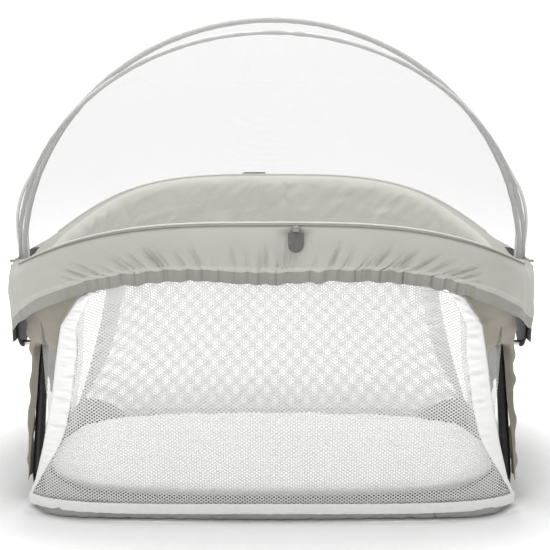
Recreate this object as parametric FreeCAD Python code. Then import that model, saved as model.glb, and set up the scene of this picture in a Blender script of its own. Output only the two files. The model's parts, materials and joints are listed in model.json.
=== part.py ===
"""Travel play yard: two hinged U-shaped rails and two U-shaped leg frames on a pair of side hubs,
mesh walls, a padded floor mat and a zipped net dome on two hoops.

Frame: origin on the floor under the middle, +X to the right, -Y to the front, +Z up, millimetres.
All frames turn about one line, the hub axis, which runs along X at height HUB_Z.
"""
import FreeCAD, Part

import math
import os

os.makedirs("parts", exist_ok=True)
V = FreeCAD.Vector

# ---- driving dimensions ------------------------------------------------------------------------
HUB_Z = 285.0            # height of the hub axis
RIM_HALF_WIDTH = 396.0   # padded rim, half size along X
RIM_HALF_DEPTH = 330.0   # padded rim, half size along Y
RIM_ROUND = 5.0          # superellipse exponent of the rim's plan
RIM_TAPER = 0.12         # share by which the rim is narrower at mid front and mid back than at the hubs
RIM_END_Z = 350.0        # top of the rim at its two ends
RIM_RISE = 98.0          # how much higher the rim is at mid front and mid back
RIM_BOW = 3.24           # exponent of that rise along X
SKIRT_DROP_END = 120.0   # skirt depth at the ends
SKIRT_DROP_MID = 86.0    # skirt depth at mid front and mid back
INNER_DROP = 92.0        # depth of the rim's inner band
RIM_PAD = 31.0           # width of the padded rim across the rail
RIM_PAD_HUB = 44.0       # the same beside the hubs, where the rail runs inward to its knuckle

LEG_TUBE_R = 8.0
RAIL_TUBE_R = 9.5
HOOP_ROD_R = 2.5
WALL = 1.2               # tube wall
SLEEVE = 1.1             # fabric sleeve thickness over a tube
BAR_Z = 11.0             # centre height of the floor bars
FOOT_R = 12.0
FOOT_LENGTH = 34.0

HOOP_HALF_WIDTH = 394.0  # hoop centre line
HOOP_SPRING_V = 65.0     # distance from the axis at which the hoop's oval starts
FRONT_HOOP_TOP = 433.0   # distance from the axis to the hoop's top
REAR_HOOP_TOP = 437.0
FRONT_HOOP_LEAN = 17.9   # degrees forward of upright
REAR_HOOP_LEAN = -6.1

# ---- the hub's stack, as distances from the middle plane along X --------------------------------
INNER_PLATE = (339.0, 343.0)
INNER_BOSS = (343.0, 347.6)
REAR_LEG_SLOT = (348.0, 356.0)
FRONT_LEG_SLOT = (356.5, 364.5)
REAR_RAIL_SLOT = (365.0, 374.5)
FRONT_RAIL_SLOT = (375.0, 384.5)
REAR_HOOP_SLOT = (385.0, 390.2)
FRONT_HOOP_SLOT = (390.8, 396.0)
OUTER_COVER = (398.0, 402.0)
HUB_SKIRT = (404.6, 406.6)
ARM_LENGTH = 56.0        # from the axis to where a knuckle's arm ends and its tube begins
AXLE_R = 4.0
STEM_R = 7.4
GEAR = (357.0, 362.0)
GEAR_R = 15.6
POSTS = ((-25.2, 321.0), (0.0, 211.0))   # y, z of the two posts that tie a hub's plates together
POST_R = 4.0
BUTTON_TRAVEL = 4.0
SCREW_R = 2.0
BUTTON_R = 14.0
KNUCKLE_R = 26.0
RUN = 0.08               # running clearance on the axle
CLEAR = 0.4              # clearance between pieces that turn past each other

# end wall: height, distance from the middle along X, half width; it passes inside both legs above
# and bulges out between them below, as far as the mat reaches
END_WALL = ((20, 374.0, 108), (70, 366.0, 86), (110, 351.0, 62), (150, 338.0, 72),
            (200, 331.4, 130), (270, 331.4, 174), (322, 331.4, 176))
MAT_HALF_LENGTH = 366.0
MAT_HALF_DEPTH = 194.0
FLOOR_HALF_LENGTH = 370.0
FLOOR_HALF_DEPTH = 198.0
PLAN_ROUND = 3.2         # superellipse exponent of the floor's and the mat's plan
MAT_Z = (14.6, 44.0)
WALL_FOOT_HALF_WIDTH = 387.0     # plan of the foot of the mesh walls
WALL_FOOT_HALF_DEPTH = 221.0
WALL_FOOT_ROUND = 5.0
WALL_FOOT_Z = 24.2
WALL_TOP_HALF_WIDTH = 328.0
CORNER_X = 356.0         # where a leg meets the floor
CORNER_Y = 150.0
MESH = 2.4               # thickness of a mesh wall with its binding
NET = 1.6                # thickness of the dome net

SIDES = {"left": -1, "right": 1}
ENDS = {"front": -1, "rear": 1}


# ---- general helpers ----------------------------------------------------------------------------
def mid(slot):
    """Middle of a pair of stack distances."""
    return (slot[0] + slot[1]) / 2


def save(name, *shapes):
    """Write one node: a single solid, or a group of separate solids."""
    shape = shapes[0] if len(shapes) == 1 else Part.makeCompound(list(shapes))
    shape.exportStep(f"parts/{name}.step")


def mirror_x(shape):
    return shape.mirror(V(0, 0, 0), V(1, 0, 0))


def mirror_y(shape):
    return shape.mirror(V(0, 0, 0), V(0, 1, 0))


def for_side(shape, side):
    """Shapes are drawn on the right, +X; the left one is their mirror image."""
    return shape if side > 0 else mirror_x(shape)


def for_end(shape, end):
    """Shapes are drawn at the front, -Y; the rear one is their mirror image."""
    return shape if end < 0 else mirror_y(shape)


def disc(slot, radius, bore=0.0, y=0.0, z=HUB_Z):
    """A disc on the right-hand hub, across the given slot."""
    start = V(slot[0], y, z)
    along = V(1, 0, 0)
    solid = Part.makeCylinder(radius, slot[1] - slot[0], start, along)
    return solid.cut(Part.makeCylinder(bore, slot[1] - slot[0], start, along)) if bore else solid


def rounded_path(points, share=0.45):
    """A wire of straight runs joined by tangent arcs, each as large as its two runs allow."""
    edges = []
    last = points[0]
    for before, corner, after in zip(points, points[1:], points[2:]):
        back = (before - corner).normalize()
        on = (after - corner).normalize()
        half_turn = (math.pi - back.getAngle(on)) / 2
        reach = share * min((before - corner).Length, (after - corner).Length)
        radius = reach / math.tan(half_turn)
        inward = (back + on).normalize()
        centre = corner + inward * (radius / math.cos(half_turn))
        start = corner + back * reach
        end = corner + on * reach
        edges.append(Part.LineSegment(last, start).toShape())
        edges.append(Part.Arc(start, centre - inward * radius, end).toShape())
        last = end
    edges.append(Part.LineSegment(last, points[-1]).toShape())
    return Part.Wire(edges)


def rod(points, radius):
    """A round bar along a rounded path."""
    path = rounded_path(points)
    circle = Part.Circle(points[0], points[1] - points[0], radius)
    return path.makePipeShell([Part.Wire(circle.toShape())], True, False)


def tube(points, radius, wall):
    return rod(points, radius).cut(rod(points, radius - wall))


def straight(start, end, radius, bore=0.0):
    """A straight round bar or ring between two points."""
    along = end - start
    solid = Part.makeCylinder(radius, along.Length, start, along)
    return solid.cut(Part.makeCylinder(bore, along.Length, start, along)) if bore else solid


def four_sided(a, b, c, d):
    """Two triangles that fill a four-sided hole whose corners need not lie in one plane."""
    return [Part.Face(Part.makePolygon([a, b, c, a])), Part.Face(Part.makePolygon([a, c, d, a]))]


def sheet(sections, thickness, outward):
    """A thin closed panel. Each section is a line of points; outward gives a point's thick direction."""
    loops = []
    for section in sections:
        outer = [point + outward(point) * thickness for point in section]
        loops.append(section + outer[::-1])
    faces = []
    count = len(loops[0])
    for one, two in zip(loops, loops[1:]):
        for i in range(count):
            k = (i + 1) % count
            faces += four_sided(one[i], one[k], two[k], two[i])
    for loop in (loops[0], loops[-1]):
        for i in range(count // 2 - 1):
            faces += four_sided(loop[i], loop[i + 1], loop[count - 2 - i], loop[count - 1 - i])
    solid = Part.Solid(Part.Shell(faces))
    return solid if solid.Volume > 0 else solid.reversed()


def steps(first, last, count):
    """Evenly spaced numbers, both ends included."""
    return [first + (last - first) * i / (count - 1) for i in range(count)]


# ---- the shapes that the frame follows ----------------------------------------------------------
def superellipse(angle, half_x, half_y, exponent):
    """Plan point of a superellipse at a parameter angle in degrees; 0 is +X and -90 is the front."""
    c = math.cos(math.radians(angle))
    s = math.sin(math.radians(angle))
    x = half_x * math.copysign(abs(c) ** (2 / exponent), c)
    y = half_y * math.copysign(abs(s) ** (2 / exponent), s)
    return x, y


def rim_top(x):
    """Height of the padded rim's top above the floor."""
    return RIM_END_Z + RIM_RISE * (1 - min(1.0, abs(x) / RIM_HALF_WIDTH) ** RIM_BOW)


def rim_share(x):
    """0 at the ends of the rim, 1 at mid front."""
    return (rim_top(x) - RIM_END_Z) / RIM_RISE


def rim_plan(angle):
    """Plan point of the rim's outer line: a superellipse that narrows away from the hubs."""
    x, y = superellipse(angle, RIM_HALF_WIDTH, RIM_HALF_DEPTH, RIM_ROUND)
    return V(x * (1 - RIM_TAPER * abs(y) / RIM_HALF_DEPTH), y, 0)


def rim_point(angle, inset=0.0, below=0.0):
    """A point of the front half of the rim, inside its outer line and below its top."""
    nudge = 0.05
    along = rim_plan(angle - nudge) - rim_plan(angle + nudge)
    outside = V(-along.y, along.x, 0).normalize()
    point = rim_plan(angle)
    return V(point.x, point.y, rim_top(point.x) - below) - outside * inset


def skirt_drop(x):
    """Depth of the skirt below the rim's top."""
    return SKIRT_DROP_END + (SKIRT_DROP_MID - SKIRT_DROP_END) * rim_share(x)


def hoop_point(angle, lean, top):
    """A point of a hoop's oval; angle 0 is the right spring point and 90 is the top."""
    x = HOOP_HALF_WIDTH * math.cos(math.radians(angle))
    v = HOOP_SPRING_V + (top - HOOP_SPRING_V) * math.sin(math.radians(angle))
    return at_lean(x, v, lean)


def at_lean(x, v, lean):
    """A point at distance v from the hub axis in a plane that leans forward by lean degrees."""
    a = math.radians(lean)
    return V(x, -v * math.sin(a), HUB_Z + v * math.cos(a))


def hub_point(slot):
    return V(mid(slot), 0, HUB_Z)


# ---- frames: knuckles on the hub and the tubes that leave them ----------------------------------
def knuckle(slot, towards, tube_radius, bore):
    """A hub knuckle: a disc on the axle, a flat arm and a plug that the tube slides over."""
    pivot = hub_point(slot)
    direction = (towards - pivot).normalize()
    body = disc(slot, KNUCKLE_R, bore)
    width = 2 * tube_radius + 2
    arm = Part.makeBox(ARM_LENGTH, width, slot[1] - slot[0], V(0, -width / 2, slot[0] - mid(slot)))
    arm.rotate(V(0, 0, 0), V(0, 1, 0), 90)
    arm.rotate(V(0, 0, 0), V(1, 0, 0), math.degrees(math.atan2(-direction.y, direction.z)) + 180)
    arm.translate(pivot)
    arm = arm.cut(disc(slot, KNUCKLE_R - 1, 0))
    plug = straight(pivot + direction * (ARM_LENGTH - 8), pivot + direction * (ARM_LENGTH + 26),
                    tube_radius - WALL - 0.1)
    return body.fuse(arm).fuse(plug).removeSplitter()


def frame_path(slot, route):
    """The route of a bent tube from the right hub to the left hub, starting where the arm ends."""
    pivot = hub_point(slot)
    direction = (route[0] - pivot).normalize()
    half = [pivot + direction * (ARM_LENGTH + 0.4)] + route
    other = [V(-p.x, p.y, p.z) for p in half]
    return half + other[::-1] if half[-1].x > 1 else half + other[::-1][1:]


def leg_route():
    """Right half of a front leg frame: down to the floor, then along the bowed floor bar."""
    return [V(CORNER_X, -CORNER_Y, BAR_Z), V(302, -212, BAR_Z), V(0, -225, BAR_Z)]


def rail_route():
    """Right half of a front rail, inside the padded rim, up to its middle."""
    angles = (-6, -17, -31, -45, -59, -73, -84, -90)
    return [rim_point(a, RIM_PAD / 2 - 1.5, RIM_PAD / 2) for a in angles]


def hoop_route(lean, top):
    """Right half of a hoop: corners of a line that its arcs touch, from the knuckle to the top."""
    corners = []
    turn = 30
    for angle in range(turn // 2, 90, turn):
        point = hoop_point(angle, lean, top)
        centre = at_lean(0, HOOP_SPRING_V, lean)
        corners.append(centre + (point - centre) * (1 / math.cos(math.radians(turn / 2))))
    return corners


def make_frame(end_name, end, part, slot, route, radius):
    """Knuckles and hollow tube of one U-shaped frame."""
    points = frame_path(slot, route)
    save(f"{end_name}_{part}_tube", for_end(tube(points, radius, WALL), end))
    return points


def leg_knuckle(end_name, slot):
    """The lock gear fills the front knuckle's recess and enters the rear one's when pressed."""
    towards = leg_route()[0]
    if end_name == "front":
        piece = knuckle(slot, towards, LEG_TUBE_R, STEM_R + CLEAR)
        return piece.cut(disc((slot[0], GEAR[1] + CLEAR), GEAR_R + CLEAR))
    piece = knuckle(slot, towards, LEG_TUBE_R, AXLE_R + RUN)
    return piece.cut(disc((slot[0] + 3, slot[1]), GEAR_R + CLEAR))


def make_leg_frames():
    for end_name, end in ENDS.items():
        slot = FRONT_LEG_SLOT if end_name == "front" else REAR_LEG_SLOT
        points = make_frame(end_name, end, "leg", slot, leg_route(), LEG_TUBE_R)
        for side_name, side in SIDES.items():
            piece = for_side(for_end(leg_knuckle(end_name, slot), end), side)
            save(f"{end_name}_{side_name}_leg_knuckle", piece)
        make_sleeves(end_name, end, points)
        make_feet(end_name, end)


def make_sleeves(end_name, end, points):
    """Fabric sleeves: one along each floor bar and one down each leg."""
    outer = rod(points, LEG_TUBE_R + SLEEVE)
    ring = outer.cut(rod(points, LEG_TUBE_R + 0.05))
    bar_zone = Part.makeBox(2 * CORNER_X, 400, 40, V(-CORNER_X, -400, -5))
    leg_zone = Part.makeBox(90, 400, 150, V(CORNER_X - 40, -400, 48))
    feet = [foot_space(side) for side in SIDES.values()]
    save(f"{end_name}_floor_bar_sleeve", for_end(ring.common(bar_zone).cut(Part.makeCompound(feet)), end))
    for side_name, side in SIDES.items():
        save(f"{end_name}_{side_name}_leg_sleeve", for_side(for_end(ring.common(leg_zone), end), side))


def foot_axis(side):
    """Start and end of a foot's ring on the floor bar."""
    corner = leg_route()[1]
    middle = leg_route()[2]
    along = (middle - corner).normalize()
    start = corner + along * 62
    end = start + along * FOOT_LENGTH
    return V(side * start.x, start.y, start.z), V(side * end.x, end.y, end.z)


def foot_space(side):
    start, end = foot_axis(side)
    return straight(start, end, FOOT_R + 2)


def make_feet(end_name, end):
    feet = []
    above_floor = Part.makeBox(1000, 1000, 100, V(-500, -500, 0))
    for side in SIDES.values():
        start, stop = foot_axis(side)
        ring = straight(start, stop, FOOT_R, LEG_TUBE_R + 0.1)
        feet.append(for_end(ring.common(above_floor), end))
    save(f"{end_name}_feet", *feet)


def make_rail_frames():
    for end_name, end in ENDS.items():
        slot = FRONT_RAIL_SLOT if end_name == "front" else REAR_RAIL_SLOT
        make_frame(end_name, end, "rail", slot, rail_route(), RAIL_TUBE_R)
        piece = knuckle(slot, rail_route()[0], RAIL_TUBE_R, STEM_R + CLEAR)
        for side_name, side in SIDES.items():
            save(f"{end_name}_{side_name}_rail_knuckle", for_side(for_end(piece, end), side))


def hoop_knuckle(slot, lean):
    """A small knuckle with a socket that holds the end of a hoop's rod."""
    x = mid(slot)
    socket = straight(at_lean(x, 19, lean), at_lean(x, 52, lean), HOOP_ROD_R + 0.6)
    hole = straight(at_lean(x, 30, lean), at_lean(x, 53, lean), HOOP_ROD_R + 0.05)
    return disc(slot, 21, STEM_R + CLEAR).fuse(socket).removeSplitter().cut(hole)


def make_hoops():
    for end_name, slot, lean, top in (("front", FRONT_HOOP_SLOT, FRONT_HOOP_LEAN, FRONT_HOOP_TOP),
                                      ("rear", REAR_HOOP_SLOT, REAR_HOOP_LEAN, REAR_HOOP_TOP)):
        route = hoop_route(lean, top)
        half = [at_lean(mid(slot), 31, lean), at_lean(mid(slot), HOOP_SPRING_V, lean)] + route
        points = half + [V(-p.x, p.y, p.z) for p in half][::-1]
        save(f"{end_name}_hoop_rod", rod(points, HOOP_ROD_R))
        for side_name, side in SIDES.items():
            save(f"{end_name}_{side_name}_hoop_knuckle", for_side(hoop_knuckle(slot, lean), side))


# ---- hubs ---------------------------------------------------------------------------------------
def hub_plate(slot):
    """A plate that is round about the axle and runs down in a rounded tongue."""
    upper = disc(slot, 54)
    lower = disc(slot, 40, z=HUB_Z - 40)
    web = Part.makeBox(slot[1] - slot[0], 80, 40, V(slot[0], -40, HUB_Z - 40))
    return upper.fuse([lower, web]).removeSplitter()


def outer_cover():
    """Outer cover with a chamfered face, a button hole and two screw holes."""
    plate = hub_plate(OUTER_COVER)
    rim = [e for e in plate.Edges if all(abs(v.Point.x - OUTER_COVER[1]) < 1e-6 for v in e.Vertexes)]
    plate = plate.makeChamfer(2.0, rim)
    boss = disc((OUTER_COVER[0] - 1.2, OUTER_COVER[0]), BUTTON_R + 3)
    plate = plate.fuse(boss)
    plate = plate.cut(disc((OUTER_COVER[0] - 2, OUTER_COVER[1] + 1), BUTTON_R + 0.3))
    for y, z in POSTS:
        plate = plate.cut(disc((OUTER_COVER[0] - 1, OUTER_COVER[1] + 1), SCREW_R + 0.1, y=y, z=z))
    return plate


def gear():
    """Lock gear: a ring with twelve square teeth."""
    ring = disc(GEAR, GEAR_R - 2.4, AXLE_R + RUN)
    for k in range(12):
        tooth = Part.makeBox(GEAR[1] - GEAR[0], 4, 4, V(GEAR[0], -2, HUB_Z + GEAR_R - 4.2))
        tooth.rotate(V(0, 0, HUB_Z), V(1, 0, 0), 30 * k)
        ring = ring.fuse(tooth)
    return ring.removeSplitter()


def spring():
    """Return spring between the lock gear and the floor of the rear knuckle's recess."""
    length = GEAR[0] - (REAR_LEG_SLOT[0] + 3) - 1.4
    helix = Part.makeHelix(1.6, length, 8.0)
    section = Part.Wire(Part.Circle(V(8, 0, 0), V(0, 1, 0), 0.45).toShape())
    coil = Part.Wire(helix.Edges).makePipeShell([section], True, True)
    coil.rotate(V(0, 0, 0), V(0, 1, 0), 90)
    coil.translate(V(REAR_LEG_SLOT[0] + 3 + 0.6, 0, HUB_Z))
    return coil


def button():
    """Round push button on a hollow stem that reaches the lock gear."""
    face = FRONT_HOOP_SLOT[1] + BUTTON_TRAVEL + CLEAR
    cap = disc((face, OUTER_COVER[1] + 2.0), BUTTON_R, AXLE_R + RUN)
    stem = disc((GEAR[1] + 0.02, face), STEM_R, AXLE_R + RUN)
    return cap.fuse(stem).removeSplitter()


def axle():
    shaft = disc((INNER_PLATE[0] - 2, OUTER_COVER[1]), AXLE_R)
    head = disc((INNER_PLATE[0] - 4, INNER_PLATE[0] - 0.1), AXLE_R + 4)
    return shaft.fuse(head).removeSplitter()


def post_and_screw(y, z):
    """A tubular spacer post between the plates and the long screw through it."""
    post = disc((INNER_PLATE[1], OUTER_COVER[0]), POST_R, SCREW_R + 0.1, y=y, z=z)
    shank = disc((INNER_PLATE[0] - 0.5, OUTER_COVER[1]), SCREW_R, y=y, z=z)
    head = disc((INNER_PLATE[0] - 2.2, INNER_PLATE[0] - 0.1), SCREW_R + 2.2, y=y, z=z)
    return post, shank.fuse(head).removeSplitter()


def make_hubs():
    posts = []
    screws = []
    for side_name, side in SIDES.items():
        inner = hub_plate(INNER_PLATE).fuse(disc(INNER_BOSS, 14)).removeSplitter()
        inner = inner.cut(disc((INNER_PLATE[0], INNER_BOSS[1]), AXLE_R + 0.02))
        for y, z in POSTS:
            inner = inner.cut(disc(INNER_PLATE, SCREW_R + 0.1, y=y, z=z))
            post, screw = post_and_screw(y, z)
            posts.append(for_side(post, side))
            screws.append(for_side(screw, side))
        save(f"{side_name}_hub_inner_plate", for_side(inner, side))
        save(f"{side_name}_hub_outer_cover", for_side(outer_cover(), side))
        save(f"{side_name}_hub_axle", for_side(axle(), side))
        save(f"{side_name}_release_button", for_side(button(), side))
        save(f"{side_name}_lock_gear", for_side(gear(), side))
        save(f"{side_name}_button_spring", for_side(spring(), side))
    save("hub_posts", *posts)
    save("hub_screws", *screws)


# ---- soft goods ---------------------------------------------------------------------------------
COVER_REACH = 0.74      # parameter angle where a rim cover ends beside a hub


def make_rim_covers():
    """Padded rim cover: outer skirt, flat top and inner band, from one hub round to the other."""
    for end_name, end in ENDS.items():
        wires = []
        for angle in steps(-COVER_REACH, -180 + COVER_REACH, 25):
            rim = rim_point(angle)
            drop = skirt_drop(rim.x)
            pad = RIM_PAD + (RIM_PAD_HUB - RIM_PAD) * max(0.0, 1 + rim.y / 150)
            loop = [(-4, drop), (0, 5), (6, 0), (pad - 6, 0), (pad, 5), (pad, INNER_DROP),
                    (pad - 2, INNER_DROP), (pad - 2, 6), (pad - 7, 2.2), (7, 2.2), (2, 6), (-2, drop)]
            loop = [rim_point(angle, inset, below) for inset, below in loop]
            wires.append(Part.makePolygon(loop + [loop[0]]))
        save(f"{end_name}_rim_cover", for_end(Part.makeLoft(wires, True, True), end))


def make_hub_skirts():
    """Plain piece of skirt over each hub."""
    half_depth = rim_plan(-COVER_REACH + 0.1).y
    bottom = RIM_END_Z - SKIRT_DROP_END
    slab = Part.makeBox(HUB_SKIRT[1] - HUB_SKIRT[0], -2 * half_depth, RIM_END_Z - bottom,
                        V(HUB_SKIRT[0], half_depth, bottom))
    for side_name, side in SIDES.items():
        save(f"{side_name}_hub_skirt", for_side(slab, side))


def wall_section(x):
    """Line of a front wall at one X, from just over the floor bar to inside the rim."""
    share = min(1.0, abs(x) / WALL_FOOT_HALF_WIDTH) ** WALL_FOOT_ROUND
    bottom = V(x, -WALL_FOOT_HALF_DEPTH * (1 - share) ** (1 / WALL_FOOT_ROUND), WALL_FOOT_Z)
    flat = min(1.0, abs(x) / WALL_TOP_HALF_WIDTH) ** RIM_ROUND
    top_y = -(RIM_HALF_DEPTH - RIM_PAD - 3) * (1 - flat) ** (1 / RIM_ROUND)
    return [bottom, V(x, top_y, rim_top(x) - 40)]


def make_walls():
    half = 322.0
    stations = steps(-half, half, 15)
    for end_name, end in ENDS.items():
        wall = sheet([wall_section(x) for x in stations], MESH, lambda p: V(0, 1, 0))
        save(f"{end_name}_mesh_wall", for_end(wall, end))
    sections = [[V(x, -y, z), V(x, y, z)] for z, x, y in END_WALL]
    end_wall = sheet(sections, MESH, lambda p: V(1, 0, 0))
    for side_name, side in SIDES.items():
        save(f"{side_name}_mesh_wall", for_side(end_wall, side))


def plan_solid(half_x, half_y, low, high, count=48):
    """A flat solid with a superellipse outline."""
    points = []
    for k in range(count):
        x, y = superellipse(360 * k / count, half_x, half_y, PLAN_ROUND)
        points.append(V(x, y, low))
    curve = Part.BSplineCurve()
    curve.interpolate(points, PeriodicFlag=True)
    return Part.Face(Part.Wire(curve.toShape())).extrude(V(0, 0, high - low))


def make_floor():
    save("floor_panel", plan_solid(FLOOR_HALF_LENGTH, FLOOR_HALF_DEPTH, BAR_Z + 1, BAR_Z + 3))
    low, high = MAT_Z
    cover = plan_solid(MAT_HALF_LENGTH, MAT_HALF_DEPTH, low, high)
    space = plan_solid(MAT_HALF_LENGTH - 4, MAT_HALF_DEPTH - 4, low + 2, high - 2)
    save("mat_cover", cover.cut(space))
    save("mat_foam_core", plan_solid(MAT_HALF_LENGTH - 5, MAT_HALF_DEPTH - 5, low + 3, high - 3))


def net_angles():
    return steps(14, 166, 17)


def net_section(low, high, bulge):
    """Three points from one edge of a net panel to the other, with its middle pushed outward."""
    middle = (low + high) * 0.5
    return [low, middle + (middle - V(0, 0, RIM_END_Z)).normalize() * bulge, high]


def dome_outward(point):
    return (point - V(0, 0, RIM_END_Z - 60)).normalize()


def hoop_edge(angle, lean, top, shift, lift=0.0):
    """Edge of a net panel beside a hoop: shifted along Y clear of the rod."""
    point = hoop_point(angle, lean, top - lift)
    return V(point.x * (1 - lift / HOOP_HALF_WIDTH), point.y + shift, point.z)


def make_net():
    front = []
    centre = []
    rear = []
    for angle in net_angles():
        low = rim_point(-angle, RIM_PAD / 2, -1.5)
        front.append(net_section(low,
                                 hoop_edge(angle, FRONT_HOOP_LEAN, FRONT_HOOP_TOP, -4), 9))
        centre.append(net_section(hoop_edge(angle, FRONT_HOOP_LEAN, FRONT_HOOP_TOP, 4),
                                  hoop_edge(angle, REAR_HOOP_LEAN, REAR_HOOP_TOP, -4), 3))
        rear.append(net_section(V(low.x, -low.y, low.z),
                                hoop_edge(angle, REAR_HOOP_LEAN, REAR_HOOP_TOP, 4), 9))
    save("front_dome_net", sheet(front, NET, dome_outward))
    save("centre_dome_net", sheet(centre, NET, dome_outward))
    save("rear_dome_net", sheet(rear, NET, dome_outward))


# ---- zip ----------------------------------------------------------------------------------------
TAB_WIDTH = 20.0
TAB_THICK = 2.2
TAB_EYE = 3.0                        # from the tab's top to the pin that it swings on
SLIDER = (9.0, 3.4, 8.0)
ZIP_FACE = RIM_HALF_DEPTH + 1.5      # outer face of the zip tape at mid front and mid back
FRONT_ZIP_X = 32.0
FRONT_TAB_LENGTH = 26.5
REAR_ZIP_X = -8.0
REAR_TAB_LENGTH = 46.0


def pull_tab(length):
    """A flat tab that hangs down from the origin, with a rounded lower end and an eye at the top."""
    tab = Part.makeBox(TAB_WIDTH, TAB_THICK, length, V(-TAB_WIDTH / 2, -TAB_THICK / 2, -length))
    lower = [e for e in tab.Edges if e.Length < TAB_THICK + 0.1 and e.CenterOfMass.z < 1 - length]
    tab = tab.makeFillet(TAB_WIDTH / 2 - 1, lower)
    return tab.cut(Part.makeCylinder(1.3, 10, V(0, -5, -TAB_EYE), V(0, 1, 0)))


def slider_body():
    """A rounded zip slider centred on the origin."""
    body = Part.makeBox(*SLIDER, V(-SLIDER[0] / 2, -SLIDER[1] / 2, -SLIDER[2] / 2))
    return body.makeFillet(1.1, body.Edges)


def make_zip():
    """Front: the tab hangs down outside the skirt. Rear: the tab lies along the top of the rim."""
    y = -ZIP_FACE - SLIDER[1] / 2
    below_top = 1 + SLIDER[2] / 2
    gap = 0.5
    place = V(FRONT_ZIP_X, y, rim_top(FRONT_ZIP_X) - below_top)
    tab = pull_tab(FRONT_TAB_LENGTH)
    save("front_zip_slider", slider_body().translated(place))
    save("front_zip_pull", tab.translated(place - V(0, 0, SLIDER[2] / 2 + gap)))
    place = V(REAR_ZIP_X, y, rim_top(REAR_ZIP_X) - below_top)
    tab = pull_tab(REAR_TAB_LENGTH)
    tab.rotate(V(0, 0, 0), V(0, 1, 0), 90)
    save("rear_zip_slider", mirror_y(slider_body().translated(place)))
    save("rear_zip_pull", mirror_y(tab.translated(place - V(SLIDER[0] / 2 + gap, 0, 0))))


make_hubs()
make_leg_frames()
make_rail_frames()
make_hoops()
make_rim_covers()
make_hub_skirts()
make_walls()
make_floor()
make_net()
make_zip()
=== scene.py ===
"""Looks of the travel play yard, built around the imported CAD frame.

Shape code works in millimetres in the CAD's own frame: +X right, -Y front, +Z up, floor at Z = 0.
"""
import json
import math

import bpy
import numpy as np
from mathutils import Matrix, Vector


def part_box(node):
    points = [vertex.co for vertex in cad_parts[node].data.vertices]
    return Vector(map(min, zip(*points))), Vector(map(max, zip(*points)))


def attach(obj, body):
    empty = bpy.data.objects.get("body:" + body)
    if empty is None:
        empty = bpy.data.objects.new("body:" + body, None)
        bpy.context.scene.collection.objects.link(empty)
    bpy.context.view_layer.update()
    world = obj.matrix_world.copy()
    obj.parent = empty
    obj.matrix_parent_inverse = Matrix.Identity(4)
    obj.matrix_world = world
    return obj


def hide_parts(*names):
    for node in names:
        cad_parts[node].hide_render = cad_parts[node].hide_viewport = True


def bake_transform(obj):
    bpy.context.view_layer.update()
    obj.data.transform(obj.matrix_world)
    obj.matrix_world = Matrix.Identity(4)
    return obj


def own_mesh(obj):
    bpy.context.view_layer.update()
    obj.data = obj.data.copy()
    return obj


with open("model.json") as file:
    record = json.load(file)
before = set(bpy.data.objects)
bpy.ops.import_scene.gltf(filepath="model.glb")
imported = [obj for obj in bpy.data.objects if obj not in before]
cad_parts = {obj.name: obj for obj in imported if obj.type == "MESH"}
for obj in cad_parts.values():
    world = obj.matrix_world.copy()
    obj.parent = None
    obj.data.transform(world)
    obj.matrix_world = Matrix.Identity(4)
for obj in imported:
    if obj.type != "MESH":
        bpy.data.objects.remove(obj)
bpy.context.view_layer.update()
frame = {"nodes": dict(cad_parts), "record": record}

# ---- dimensions, the same as in part.py -----------------------------------------------------------
HUB_Z = 285.0
RIM_W, RIM_D, RIM_N, RIM_TAPER = 396.0, 330.0, 5.0, 0.12
RIM_END_Z, RIM_RISE, RIM_BOW = 350.0, 98.0, 3.24
RIM_PAD, RIM_PAD_HUB = 31.0, 44.0
HOOP_W, HOOP_SPRING = 394.0, 65.0
HOOPS = {"front": (17.9, 433.0), "rear": (-6.1, 437.0)}
CORNER_Y, BAR_Z = 150.0, 11.0
FRONT_ZIP_X = 32.0
MAT_W, MAT_D, MAT_N, MAT_LOW, MAT_TOP = 366.0, 194.0, 3.2, 14.6, 44.0
END_WALL = np.array([(20, 374.0), (70, 366.0), (110, 351.0), (150, 338.0), (200, 331.4), (270, 331.4),
                     (322, 331.4)])       # height and distance from the middle


# ---- small maths ----------------------------------------------------------------------------------
def smooth(value, low, high):
    """Smooth step from 0 at low to 1 at high; low may be the larger one."""
    t = np.clip((np.asarray(value, float) - low) / (high - low), 0, 1)
    return t * t * (3 - 2 * t)


def mixed(a, b, t):
    return a + (b - a) * t


def ripples(seed, u, v, size, stretch=1.0, count=10):
    """Soft seeded waves of about unit height; size is their length, stretch makes them longer along v."""
    rng = np.random.RandomState(seed)
    total = 0.0
    for _ in range(count):
        turn, phase = rng.uniform(0, 2 * math.pi, 2)
        pace = 2 * math.pi / (size * rng.uniform(0.7, 1.6))
        total = total + np.sin(pace * (u * math.cos(turn) + v * math.sin(turn) / stretch) + phase)
    return total / math.sqrt(count / 2)


def superellipse(t, half_x, half_y, power):
    """Plan point at parameter angle t in radians; 0 is +X and -pi/2 is the front."""
    c, s = np.cos(t), np.sin(t)
    return (half_x * np.sign(c) * np.abs(c) ** (2 / power),
            half_y * np.sign(s) * np.abs(s) ** (2 / power))


def rim_top(x):
    return RIM_END_Z + RIM_RISE * (1 - np.minimum(1, np.abs(x) / RIM_W) ** RIM_BOW)


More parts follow.
